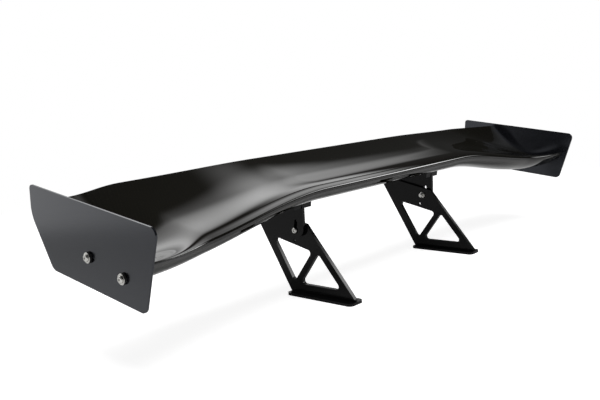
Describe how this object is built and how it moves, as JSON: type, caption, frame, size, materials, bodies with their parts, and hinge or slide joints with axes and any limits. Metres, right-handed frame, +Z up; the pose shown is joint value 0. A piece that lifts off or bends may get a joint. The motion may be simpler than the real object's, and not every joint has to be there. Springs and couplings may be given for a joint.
{
  "type": "racing rear wing",
  "caption": "Gloss black racing rear wing with twisted tips, flat grey endplates and windowed black pedestals that set its angle of attack.",
  "frame": {"origin": "on the floor under the middle of the wing: middle of the overall box, at the underside of the base plates", "axes": "+X along the span towards the left-hand tip, +Y from the leading edge to the trailing edge, +Z up"},
  "size_m": [1.719, 0.396, 0.3442],
  "materials": {
    "gloss_black_skin": "gloss lacquer over black composite",
    "raw_composite": "raw laminate",
    "endplate_grey": "satin dark grey anodised",
    "anodised_black": "satin black anodised",
    "bare_aluminium": "machined",
    "stainless_steel": "bright stainless",
    "seal_rubber": "matt"
  },
  "bodies": {
    "pedestals": {"base_plate_left": "anodised_black", "base_plate_right": "anodised_black", "foot_screw_left_front": "stainless_steel", "foot_screw_left_middle": "stainless_steel", "foot_screw_left_rear": "stainless_steel", "foot_screw_right_front": "stainless_steel", "foot_screw_right_middle": "stainless_steel", "foot_screw_right_rear": "stainless_steel", "lock_bolt_left": "stainless_steel", "lock_bolt_right": "stainless_steel", "lock_nut_left": "stainless_steel", "lock_nut_right": "stainless_steel", "lock_washer_left": "stainless_steel", "lock_washer_right": "stainless_steel", "pivot_bolt_left": "stainless_steel", "pivot_bolt_right": "stainless_steel", "pivot_nut_left": "stainless_steel", "pivot_nut_right": "stainless_steel", "pivot_washer_left": "stainless_steel", "pivot_washer_right": "stainless_steel", "upright_left": "anodised_black", "upright_right": "anodised_black"},
    "wing": {"bracket_left": "anodised_black", "bracket_right": "anodised_black", "bracket_screw_left_1": "stainless_steel", "bracket_screw_left_2": "stainless_steel", "bracket_screw_left_3": "stainless_steel", "bracket_screw_left_4": "stainless_steel", "bracket_screw_right_1": "stainless_steel", "bracket_screw_right_2": "stainless_steel", "bracket_screw_right_3": "stainless_steel", "bracket_screw_right_4": "stainless_steel", "end_rib_left": "raw_composite", "end_rib_right": "raw_composite", "endplate_bolt_left_front": "stainless_steel", "endplate_bolt_left_rear": "stainless_steel", "endplate_bolt_right_front": "stainless_steel", "endplate_bolt_right_rear": "stainless_steel", "endplate_left": "endplate_grey", "endplate_right": "endplate_grey", "endplate_seal_left_front": "seal_rubber", "endplate_seal_left_rear": "seal_rubber", "endplate_seal_right_front": "seal_rubber", "endplate_seal_right_rear": "seal_rubber", "endplate_washer_left_front": "stainless_steel", "endplate_washer_left_rear": "stainless_steel", "endplate_washer_right_front": "stainless_steel", "endplate_washer_right_rear": "stainless_steel", "front_spar": "raw_composite", "lower_skin": "gloss_black_skin", "nut_plate_left": "bare_aluminium", "nut_plate_right": "bare_aluminium", "rear_spar": "raw_composite", "rib_insert_left_front": "stainless_steel", "rib_insert_left_rear": "stainless_steel", "rib_insert_right_front": "stainless_steel", "rib_insert_right_rear": "stainless_steel", "upper_skin": "gloss_black_skin"}
  },
  "joints": [
    {"name": "angle_of_attack", "type": "hinge", "parent": "pedestals", "child": "wing", "pos_m": [0, 0.1549, 0.2], "axis": [1, 0, 0], "range_deg": [0, 10]}
  ]
}
